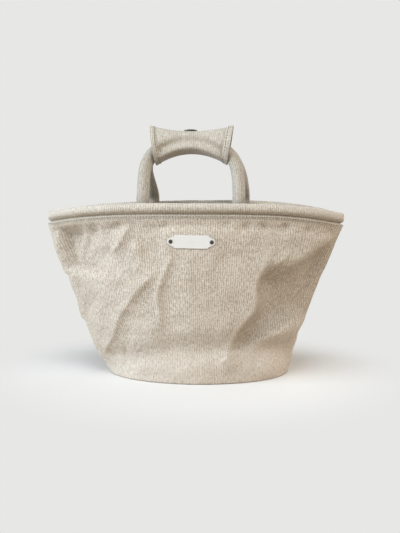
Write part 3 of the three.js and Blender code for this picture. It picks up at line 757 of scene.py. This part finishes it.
grid = []
for i in range(roll_steps):
    angle = 2 * math.pi * i / roll_steps
    column = []
    for k in range(cord_sides):
        turn = 2 * math.pi * k / cord_sides
        reach = cord_radius + cord_lobe * abs(math.cos(1.5 * turn + cord_twist * angle))
        column.append(rim_place(angle, reach * math.cos(turn), reach * math.sin(turn)))
    grid.append(column)
cord = cloth_mesh("rim_rope", grid, lambda i, j: (j * 1.6 * mm, i * 3.6 * mm),
                  [[0.5] * cord_sides] * roll_steps, closed_across=True, closed_up=True)
cord.data.materials.append(rope_cotton)
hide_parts("rim_cord")
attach(cord, "root")


# Topstitching on the rim: one row of linen thread outside the mouth and one inside. The thread is made much
# darker than the cloth, partly as painted shade for the needle holes. Each stitch dips into the binding at
# both ends.
def stitches(name, lines, length=2.2 * mm, pitch=3.3 * mm, radius=0.42 * mm):
    """Short thread dashes along lines of (place, out) pairs, each dipping into the cloth at its ends."""
    vertices, faces = [], []
    sides, rings = 6, 5
    for line in lines:
        run = [0.0]
        for start, end in zip(line, line[1:]):
            run.append(run[-1] + (end[0] - start[0]).length)
        count = int(run[-1] / pitch)
        k = 0
        for dash in range(count):
            centre = (dash + 0.5) * run[-1] / count
            for ring in range(rings):
                t = ring / (rings - 1)
                spot = centre + (t - 0.5) * length
                while k < len(run) - 2 and run[k + 1] < spot:
                    k += 1
                while k > 0 and run[k] > spot:
                    k -= 1
                part = (spot - run[k]) / (run[k + 1] - run[k])
                out = line[k][1].lerp(line[k + 1][1], part).normalized()
                side = (line[k + 1][0] - line[k][0]).cross(out).normalized()
                bulge = max(math.sin(math.pi * t), 0.0)
                thick = radius * (0.35 + 0.65 * bulge ** 0.5)
                core = line[k][0].lerp(line[k + 1][0], part) + out * (radius * (1.1 * bulge - 0.75))
                for step in range(sides):
                    turn = 2 * math.pi * step / sides
                    vertices.append(core + (side * math.cos(turn) + out * math.sin(turn)) * thick)
            first = len(vertices) - sides * rings
            for ring in range(rings - 1):
                for step in range(sides):
                    a, b = first + ring * sides + step, first + ring * sides + (step + 1) % sides
                    faces.append((a, b, b + sides, a + sides))
            faces.append(tuple(first + step for step in range(sides))[::-1])
            faces.append(tuple(first + (rings - 1) * sides + step for step in range(sides)))
    mesh = bpy.data.meshes.new(name)
    mesh.from_pydata(vertices, [], faces)
    mesh.polygons.foreach_set("use_smooth", [True] * len(mesh.polygons))
    return link_object(name, mesh)


def thread_material(name, colour):
    material = bpy.data.materials.new(name)
    material.use_nodes = True
    tree = material.node_tree
    shader = tree.nodes["Principled BSDF"]
    layout = tree.nodes.new("ShaderNodeTexCoord")
    grain_value = noise_node(tree, layout.outputs["Object"], 900.0, 2.0)
    shade_value = mixed(tree, grain_value, (*[0.62 * c for c in colour], 1), (*colour, 1))
    tree.links.new(shade_value, shader.inputs["Base Color"])
    surface = tree.nodes.new("ShaderNodeBump")
    surface.inputs["Strength"].default_value = 0.4
    surface.inputs["Distance"].default_value = 0.0002
    tree.links.new(grain_value, surface.inputs["Height"])
    tree.links.new(surface.outputs["Normal"], shader.inputs["Normal"])
    shader.inputs["Roughness"].default_value = 0.8
    return material


# The thread's dark colour is partly painted shade, standing in for the shadow in the needle holes.
thread_with_hole_shade = thread_material("thread_with_hole_shade", (0.11, 0.093, 0.075))
stitch_steps = 400
for label, side in (("outer", 1), ("inner", -1)):
    line = []
    for i in range(stitch_steps + 1):
        angle = 2 * math.pi * i / stitch_steps
        line.append((rim_place(angle, side * (flange_half - 0.3 * mm), -9.1 * mm), rim_out(angle) * side))
    row = stitches(label + "_rim_stitching", [line])
    row.data.materials.append(thread_with_hole_shade)
    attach(row, "root")


# Name plate: a pressed strip of steel in glossy white enamel, with notched corners and a round
# lug at each end. It is bare, and two dark rivets with washers inside hold it to the front.
plate_size = (41.6 * mm, 14.8 * mm)
plate_thickness = 1.0 * mm
notch_radius = 2.0 * mm
lug_radius = 3.9 * mm
rivet_spacing = 45.8 * mm
plate_tilt = math.radians(0.8)
plate_frame = Matrix((plate_side, plate_out.cross(plate_side), plate_out)).transposed().to_4x4()
plate_frame.translation = plate_seat
plate_frame = plate_frame @ Matrix.Rotation(-plate_tilt, 4, "Z")


def arc(centre, radius, start, end, count):
    return [(centre[0] + radius * math.cos(math.radians(lerp(start, end, i / count))),
             centre[1] + radius * math.sin(math.radians(lerp(start, end, i / count))))
            for i in range(count + 1)]


def turned(name, profile, steps, frame_matrix, material):
    """A lathe-turned piece from a profile of radius and height, closed at its ends."""
    bm = bmesh.new()
    rings = []
    for radius, level in profile:
        if radius < 1e-7:
            rings.append([bm.verts.new((0, 0, level))] * steps)
            continue
        rings.append([bm.verts.new((radius * math.cos(2 * math.pi * k / steps),
                                    radius * math.sin(2 * math.pi * k / steps), level))
                      for k in range(steps)])
    for low, high in zip(rings, rings[1:]):
        for k in range(steps):
            m = (k + 1) % steps
            corners = []
            for corner in (low[k], low[m], high[m], high[k]):
                if corner not in corners:
                    corners.append(corner)
            if len(corners) > 2:
                bm.faces.new(corners)
    bmesh.ops.recalc_face_normals(bm, faces=bm.faces[:])
    bmesh.ops.transform(bm, matrix=frame_matrix, verts=bm.verts[:])
    mesh = bpy.data.meshes.new(name)
    bm.to_mesh(mesh)
    bm.free()
    mesh.polygons.foreach_set("use_smooth", [True] * len(mesh.polygons))
    mesh.materials.append(material)
    return link_object(name, mesh)


def worn_paint(name, colour, chip_colour, roughness, chip_amount, metallic=0.0, coat=0.0):
    """A hard finish with slight unevenness and its under-colour showing at worn spots."""
    material = bpy.data.materials.new(name)
    material.use_nodes = True
    tree = material.node_tree
    shader = tree.nodes["Principled BSDF"]
    layout = tree.nodes.new("ShaderNodeTexCoord")
    haze = noise_node(tree, layout.outputs["Object"], 120.0, 4.0, 0.6)
    wear = noise_node(tree, layout.outputs["Object"], 700.0, 3.0, 0.65)
    chips = math_node(tree, "MULTIPLY", math_node(tree, "SUBTRACT", wear, 1 - chip_amount, clamp=True),
                      6.0, clamp=True)
    tone = mixed(tree, haze, (*[0.94 * c for c in colour], 1), (*colour, 1))
    tree.links.new(mixed(tree, chips, tone, (*chip_colour, 1)), shader.inputs["Base Color"])
    rough = math_node(tree, "ADD", math_node(tree, "MULTIPLY", haze, 0.16), roughness - 0.08)
    tree.links.new(rough, shader.inputs["Roughness"])
    surface = tree.nodes.new("ShaderNodeBump")
    surface.inputs["Strength"].default_value = 0.12
    surface.inputs["Distance"].default_value = 0.0002
    tree.links.new(haze, surface.inputs["Height"])
    tree.links.new(surface.outputs["Normal"], shader.inputs["Normal"])
    shader.inputs["Metallic"].default_value = metallic
    shader.inputs["Coat Weight"].default_value = coat
    shader.inputs["Coat Roughness"].default_value = 0.08
    return material


plate_enamel = worn_paint("plate_enamel", (0.63, 0.63, 0.615), (0.45, 0.44, 0.41), 0.3, 0.34, coat=0.5)
dark_rivet = worn_paint("dark_rivet", (0.045, 0.04, 0.036), (0.2, 0.17, 0.13), 0.42, 0.36, metallic=0.7)

half_width, half_height = plate_size[0] / 2, plate_size[1] / 2
outline = []
for side, turn in ((1, 0), (-1, 180)):
    corner = (side * half_width, -side * half_height)
    outline += arc(corner, notch_radius, turn + 180, turn + 90, 8)
    outline += arc((side * rivet_spacing / 2, 0), lug_radius, turn - 68, turn + 68, 16)
    outline += arc((side * half_width, side * half_height), notch_radius, turn + 270, turn + 180, 8)
bm = bmesh.new()
front_face = bm.faces.new([bm.verts.new((x, y, plate_thickness)) for x, y in outline])
extruded = bmesh.ops.extrude_face_region(bm, geom=[front_face])
moved = [item for item in extruded["geom"] if isinstance(item, bmesh.types.BMVert)]
bmesh.ops.translate(bm, verts=moved, vec=(0, 0, -plate_thickness))
bmesh.ops.recalc_face_normals(bm, faces=bm.faces[:])
plate_mesh = bpy.data.meshes.new("enamel_plate")
bm.to_mesh(plate_mesh)
bm.free()
plate_mesh.transform(plate_frame)
plate = link_object("enamel_plate", plate_mesh)
edge_round = plate.modifiers.new("edge_round", "BEVEL")
edge_round.width = 0.32 * mm
edge_round.segments = 3
edge_round.limit_method = "ANGLE"
edge_round.angle_limit = math.radians(50)
edge_round.harden_normals = True
plate_mesh.polygons.foreach_set("use_smooth", [True] * len(plate_mesh.polygons))
plate_mesh.materials.append(plate_enamel)
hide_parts("name_plate")
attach(plate, "root")

rivet_head = [(0, -3.6), (1.7, -3.3), (1.7, -2.9), (1.1, -2.9), (1.1, 1.0), (2.15, 1.0), (2.3, 1.15),
              (2.28, 1.4), (2.0, 1.75), (1.5, 2.02), (0.8, 2.17), (0, 2.2)]
washer_ring = [(1.35, -2.4), (2.9, -2.4), (3.0, -2.5), (3.0, -2.8), (2.9, -2.95), (1.35, -2.95),
               (1.35, -2.4)]
for label, side in (("left", -1), ("right", 1)):
    spot = plate_frame @ Matrix.Translation((side * rivet_spacing / 2, 0, 0))
    head = turned(label + "_plate_rivet", [(r * mm, h * mm) for r, h in rivet_head], 28, spot, dark_rivet)
    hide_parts(label + "_rivet")
    washer = turned(label + "_washer", [(r * mm, h * mm) for r, h in washer_ring], 28, spot, dark_rivet)
    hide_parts(label + "_rivet_washer")
    for piece in (head, washer):
        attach(piece, "root")


# Handles: two lengths of laid rope in sewn linen tubes, sewn flat to the panels' inner faces
# under the rim. They lean in against each other where the grip holds them, and each bends
# softly where it leaves the mouth.
handle_radius = 7.25 * mm
leg_half = 54.5 * mm
fold_y = -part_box("front_handle_cover")[0].y - handle_radius
fold_height = 203 * mm
bar_height = 263.5 * mm
bar_y = 7.6 * mm
leg_shift = 2.4 * mm
bar_shift = -4 * mm
arch_power = 3.6
lean_power = 1.5
tab_foot, tab_height, rope_end_height = 138 * mm, 158 * mm, 174 * mm
tab_size = (21 * mm, 3 * mm)
core_radius, core_lobe, core_twist = 5.1 * mm, 0.5 * mm, 130
arch_steps = 72
handle_step = 1.2 * mm
handle_sides = 40


def folded_wall_depth(is_front, x, height):
    """How far the folded wall's middle stands from the mouth's middle line at a place."""
    low, high = (0.0, 1.0) if is_front else (1.0, 0.0)
    up = (height - panel_foot) / (panel_top(math.pi / 2) - panel_foot)
    for _ in range(16):
        middle = (low + high) / 2
        if panel_place(is_front, middle, up)[0].x < x:
            low = middle
        else:
            high = middle
    return abs(panel_place(is_front, low, up)[0].y)


def leg_points(is_front, side):
    side_y = -1 if is_front else 1
    x = side * leg_half + side_y * leg_shift
    lay = canvas_thickness / 2 + tab_size[1] / 2 + 0.3 * mm

    def tab_y(height):
        depths = [folded_wall_depth(is_front, x + shift * tab_size[0], height) for shift in (-0.5, 0, 0.5)]
        return min(depths) - lay

    knots = [(tab_y(tab_foot), tab_foot), (tab_y(148 * mm), 148 * mm), (tab_y(tab_height), tab_height),
             (lerp(fold_y, tab_y(tab_height), 0.55), 166 * mm), (fold_y, 177 * mm), (fold_y, 188.2 * mm)]
    return [Vector((x, side_y * y, z)) for y, z in knots]


def arch_points(is_front):
    side_y = -1 if is_front else 1
    points = []
    for i in range(arch_steps + 1):
        turn = math.pi * (1 - i / arch_steps)
        c, s = math.cos(turn), max(math.sin(turn), 0.0)
        reach = math.copysign(abs(c) ** (2 / arch_power), c)
        level = 0.0 if i in (0, arch_steps) else s ** (2 / arch_power)
        x = leg_half * reach + lerp(side_y * leg_shift, bar_shift, smooth(level))
        y = side_y * lerp(fold_y, bar_y, 1 - (1 - level) ** lean_power)
        if not is_front and c < 0:
            x -= 4 * mm * smooth(level, 0, 0.6) * (1 - smooth(level, 0.6, 1))
        points.append(Vector((x, y, lerp(fold_height, bar_height, level))))
    return points


def spline(points, step):
    """Evenly spaced places on a smooth curve through the points."""
    dense = []
    padded = [2 * points[0] - points[1]] + points + [2 * points[-1] - points[-2]]
    for a, b, c, d in zip(padded, padded[1:], padded[2:], padded[3:]):
        knots = [0.0]
        for start, end in ((a, b), (b, c), (c, d)):
            knots.append(knots[-1] + max((end - start).length, 1e-6) ** 0.5)
        for i in range(10):
            t = lerp(knots[1], knots[2], i / 10)
            ab = a.lerp(b, (t - knots[0]) / (knots[1] - knots[0]))
            bc = b.lerp(c, (t - knots[1]) / (knots[2] - knots[1]))
            cd = c.lerp(d, (t - knots[2]) / (knots[3] - knots[2]))
            abc = ab.lerp(bc, (t - knots[0]) / (knots[2] - knots[0]))
            bcd = bc.lerp(cd, (t - knots[1]) / (knots[3] - knots[1]))
            dense.append(abc.lerp(bcd, (t - knots[1]) / (knots[2] - knots[1])))
    dense.append(points[-1])
    run = [0.0]
    for start, end in zip(dense, dense[1:]):
        run.append(run[-1] + (end - start).length)
    places, k = [], 0
    count = round(run[-1] / step)
    for i in range(count + 1):
        spot = run[-1] * i / count
        while k < len(run) - 2 and run[k + 1] < spot:
            k += 1
        places.append(dense[k].lerp(dense[k + 1], (spot - run[k]) / max(run[k + 1] - run[k], 1e-9)))
    return places


def carried_frames(places, first_side):
    """Side and out directions carried along a path without twisting."""
    frames, side = [], first_side
    for i, place in enumerate(places):
        ahead = (places[min(i + 1, len(places) - 1)] - places[max(i - 1, 0)]).normalized()
        side = (side - ahead * side.dot(ahead)).normalized()
        frames.append((side.copy(), ahead.cross(side)))
    return frames


handle_linen = linen("handle_linen", (0.38, 0.354, 0.307), 0.6, 0.6)

for label, is_front in (("front", True), ("back", False)):
    left, right = leg_points(is_front, -1), leg_points(is_front, 1)
    places = spline(left + arch_points(is_front) + right[::-1], handle_step)
    frames = carried_frames(places, Vector((1, 0, 0)))
    run = 0.0
    cover_grid, rope_grid, painted_shade, rope_painted_shade = [], [], [], []
    for i, place in enumerate(places):
        run += (place - places[i - 1]).length if i else 0.0
        side, out = frames[i]
        round_part = smooth(place.z, tab_height, rope_end_height)
        wide = lerp(tab_size[0] / (2 * handle_radius), 1, round_part)
        thin = lerp(tab_size[1] / (2 * handle_radius), 1, round_part)
        bend = Vector((0, 0, 0)) if i in (0, len(places) - 1) else (
            places[i - 1] + places[i + 1] - 2 * place) / handle_step ** 2
        column, tones = [], []
        for k in range(handle_sides):
            turn = 2 * math.pi * k / handle_sides
            c, s = math.cos(turn), math.sin(turn)
            away = side * c + out * s
            radius = handle_radius
            radius += 0.32 * mm * noise.noise(place * 60 + away * 1.2)
            radius += 0.14 * mm * noise.noise(Vector((run * 20, 3 * c, 3 * s)))
            inner = max(0.0, away.dot(bend)) * handle_radius
            wrinkle = abs(math.sin(run * 900 + 2 * noise.noise(place * 90)))
            radius -= 0.28 * mm * min(inner * 2.2, 1.0) * wrinkle
            seam_turn = min(turn, 2 * math.pi - turn)
            radius -= 0.5 * mm * math.exp(-(seam_turn / 0.1) ** 2) * round_part
            radius += 0.3 * mm * math.exp(-((seam_turn - 0.26) / 0.13) ** 2) * round_part
            column.append(place + side * c * radius * wide + out * s * radius * thin)
            # Painted shade: the cover is darker along the groove of its seam.
            tones.append(0.5 - 0.16 * math.exp(-(seam_turn / 0.1) ** 2) * round_part)
        cover_grid.append(column)
        painted_shade.append(tones)
        rope_column = []
        for k in range(handle_sides):
            turn = 2 * math.pi * k / handle_sides
            lobe = core_radius + core_lobe * abs(math.cos(1.5 * turn + run * core_twist))
            lobe *= lerp(0.12, 1, round_part)
            rope_column.append(place + side * math.cos(turn) * lobe + out * math.sin(turn) * lobe)
        rope_grid.append(rope_column)
        rope_painted_shade.append([0.5] * handle_sides)
    around = 2 * math.pi * handle_radius / handle_sides
    cover = cloth_mesh(label + "_handle_tube", cover_grid,
                       lambda i, j: (j * around, i * handle_step), painted_shade, closed_up=True)
    cover.data.materials.append(handle_linen)
    rope = cloth_mesh(label + "_handle_core", rope_grid,
                      lambda i, j: (j * around, i * handle_step), rope_painted_shade, closed_up=True)
    rope.data.materials.append(rope_cotton)
    for piece in (cover, rope):
        bm = bmesh.new()
        bm.from_mesh(piece.data)
        bmesh.ops.holes_fill(bm, edges=[edge for edge in bm.edges if edge.is_boundary])
        bmesh.ops.recalc_face_normals(bm, faces=bm.faces[:])
        bm.to_mesh(piece.data)
        bm.free()
    legs = [label + "_left_leg_", label + "_right_leg_"]
    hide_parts(label + "_handle_cover", legs[0] + "cover", legs[1] + "cover")
    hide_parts(label + "_handle_rope", legs[0] + "rope", legs[1] + "rope")
    for piece in (cover, rope):
        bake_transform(piece)


# Grip: one piece of the same linen, doubled and hemmed, sewn to the back handle. It goes under
# both handles, up the front and over the top, where its flap snaps down. It opens at two
# folds, low and high on the front, so it is made as a cradle, a front and a flap.
wrap_half = (41 * mm, 48.5 * mm)
wrap_low, wrap_high = 253.7 * mm, 280 * mm
wrap_sag, wrap_rise = 12.5 * mm, 6.5 * mm
wrap_middle = -3.2 * mm
wrap_depth, wrap_flare = 18 * mm, 3 * mm
wrap_power = 2.8
wrap_thickness = 1.5 * mm
low_fold, high_fold = 212.0, 153.3
cradle_ends = (146.0, low_fold - 360)
flap_edge = 42.0
grip_columns = 190
grip_step = 1.3
grip_run = 0.097


def layer_inset(along):
    """How far the cloth layer under the flap lies below it: deepest at the snap."""
    return (1.8 + 3.7 * math.exp(-((along * wrap_half[1] / mm + 1) / 18) ** 4)) * mm


def wrap_point(along, degrees, inset):
    turn = math.radians(degrees)
    c, s = math.cos(turn), math.sin(turn)
    c = math.copysign(abs(c) ** (2 / wrap_power), c)
    s = math.copysign(abs(s) ** (2 / wrap_power), s)
    level = (1 + s) / 2
    low = wrap_low - wrap_sag * along ** 2 + inset
    high = wrap_high + wrap_rise * along ** 2 - inset
    taper = max(0.0, (level - 0.45) / 0.55) ** 1.5
    narrow = 1 - lerp(0.1, 0.6, along ** 2) * taper
    return Vector((along * lerp(wrap_half[0], wrap_half[1], level) + wrap_middle,
                   max((wrap_depth + wrap_flare * along ** 2) * narrow - inset, 0.5 * mm) * c,
                   (low + high) / 2 + (high - low) / 2 * s))


def grip_folds(place, along, out):
    """The grip cloth's folds in millimetres: it lies tight round the bars, slack above them."""
    x, z = place.x / mm, place.z / mm
    bar_line = 260.9 - 0.0098 * (x + 4.5) ** 2
    above = z - bar_line
    ends = 1 - smooth(abs(along), 0.78, 0.95)
    upright = smooth(abs(out.y), 0.35, 0.8)
    folds = 1.8 * math.exp(-(above / 3.2) ** 2) * ends
    folds -= 2.7 * math.exp(-((above - 8.5) / 5.0) ** 2) * ends
    folds -= 0.9 * math.exp(-((abs(along) - 0.84) / 0.05) ** 2) * smooth(z, 244, 252)
    folds += 0.5 * noise.noise(Vector((x / 13, z / 30, 2.0)))
    folds += 0.25 * noise.noise(Vector((x / 5, z / 11, 7.0)))
    hem = 0.45 * smooth(abs(along), 0.885, 0.9) - 0.3 * math.exp(-((abs(along) - 0.885) / 0.012) ** 2)
    return folds * upright + hem


def grip_cloth(name, start, end, inset_at):
    count = round((start - end) / grip_step)
    places = []
    for i in range(grip_columns + 1):
        along = lerp(-1, 1, i / grip_columns)
        turns = [lerp(start, end, j / count) for j in range(count + 1)]
        places.append([wrap_point(along, degrees, inset_at(along, degrees)) for degrees in turns])
    grid, fold_rows = [], []
    for i in range(grip_columns + 1):
        along = lerp(-1, 1, i / grip_columns)
        column, values = [], []
        for j in range(count + 1):
            low_i, high_i = max(i - 1, 0), min(i + 1, grip_columns)
            degrees = lerp(start, end, j / count)
            ahead = wrap_point(along, degrees - 1, inset_at(along, degrees - 1))
            behind = wrap_point(along, degrees + 1, inset_at(along, degrees + 1))
            out = (places[high_i][j] - places[low_i][j]).cross(ahead - behind).normalized()
            folds = grip_folds(places[i][j], along, out)
            column.append(places[i][j] + out * folds * mm)
            values.append(folds)
        grid.append(column)
        fold_rows.append(values)
    row_run = [0.0]
    middle = grid[grip_columns // 2]
    for a, b in zip(middle, middle[1:]):
        row_run.append(row_run[-1] + (b - a).length)
    # The grip's colour carries painted light and shade from its folds.
    cloth = cloth_mesh(name, grid, lambda i, j: (i * grip_run / grip_columns, row_run[j]),
                       fold_painted_shade(fold_rows, 2, 0.12))
    cloth.data.materials.append(grip_linen)
    return cloth, grid


def hem_lines(grid, inset_columns):
    """Stitch lines along both ends of a grip cloth, on its outer face."""
    lines = []
    for i in (inset_columns, len(grid) - 1 - inset_columns):
        line = []
        for j in range(1, len(grid[i]) - 1):
            out = (grid[i + 1][j] - grid[i - 1][j]).cross(grid[i][j + 1] - grid[i][j - 1]).normalized()
            line.append((grid[i][j] + out * 0.08 * mm, out))
        lines.append(line)
    return lines


grip_linen = linen("grip_linen", (0.43, 0.402, 0.352), 0.55, 0.6)
hem_columns = round(grip_columns * 0.055)
cradle, cradle_grid = grip_cloth("grip_cradle", cradle_ends[0], cradle_ends[1],
                                 lambda along, degrees: layer_inset(along) * smooth(degrees, -20, 32))
front, front_grid = grip_cloth("grip_front", low_fold, high_fold, lambda along, degrees: 0.0)
flap, flap_grid = grip_cloth("grip_flap", high_fold, flap_edge, lambda along, degrees: 0.0)
for cloth in (cradle, front, flap):
    add_thickness(cloth, wrap_thickness, -1.0)
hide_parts("wrap_cradle")
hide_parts("wrap_front")
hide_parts("wrap_flap")

j = len(flap_grid[0]) - 5
edge_line = []
for i in range(hem_columns, grip_columns - hem_columns + 1):
    out = (flap_grid[i + 1][j] - flap_grid[i - 1][j]).cross(flap_grid[i][j + 1] - flap_grid[i][j - 1])
    edge_line.append((flap_grid[i][j] + out.normalized() * 0.08 * mm, out.normalized()))
cradle_hem = stitches("grip_cradle_hem", hem_lines(cradle_grid, hem_columns))
front_hem = stitches("grip_front_hem", hem_lines(front_grid, hem_columns))
flap_hem = stitches("grip_flap_hem", hem_lines(flap_grid, hem_columns) + [edge_line])
for row in (cradle_hem, front_hem, flap_hem):
    row.data.materials.append(thread_with_hole_shade)
for piece in (cradle, cradle_hem):
    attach(piece, "back_handle")
for piece in (front, front_hem):
    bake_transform(piece)
for piece in (flap, flap_hem):
    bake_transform(piece)


# Snap: a ring snap in dark antiqued brass. Its cap and socket are riveted through the flap, and
# its stud and post through the layer below.
snap_x = -4.2 * mm
snap_brass = worn_paint("snap_brass", (0.17, 0.15, 0.12), (0.42, 0.35, 0.24), 0.34, 0.34, metallic=0.9)
snap_parts = [
    ("cap", "grip_flap", [(0, 276.9), (1.7, 276.9), (1.7, 280.4), (7.3, 280.4), (7.65, 280.55),
                          (7.75, 280.9), (7.6, 281.25), (7.1, 281.45), (6.6, 281.42), (6.2, 281.55),
                          (5.0, 281.98), (3.4, 282.3), (1.7, 282.46), (0, 282.5)]),
    ("socket", "grip_flap", [(2.05, 278.2), (5.2, 278.2), (5.5, 278.0), (5.5, 276.3), (5.2, 276.0),
                             (3.4, 276.0), (3.15, 276.2), (3.15, 277.1), (2.05, 277.1), (2.05, 278.2)]),
    ("stud", "back_handle", [(2.05, 274.8), (4.8, 274.8), (5.0, 275.0), (4.8, 275.5), (3.0, 275.6),
                             (2.55, 275.9), (2.8, 276.3), (2.7, 276.7), (2.3, 276.8), (2.05, 276.8),
                             (2.05, 274.8)]),
    ("post", "back_handle", [(0, 271.8), (4.6, 271.8), (5.0, 272.0), (5.0, 272.4), (1.7, 272.5),
                             (1.7, 275.6), (0, 275.6)])]
for label, body, profile in snap_parts:
    piece = turned("snap_" + label + "_piece", [(r * mm, h * mm) for r, h in profile], 56,
                   Matrix.Translation((snap_x, 0, 0)), snap_brass)
    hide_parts("snap_" + label)
    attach(piece, body)
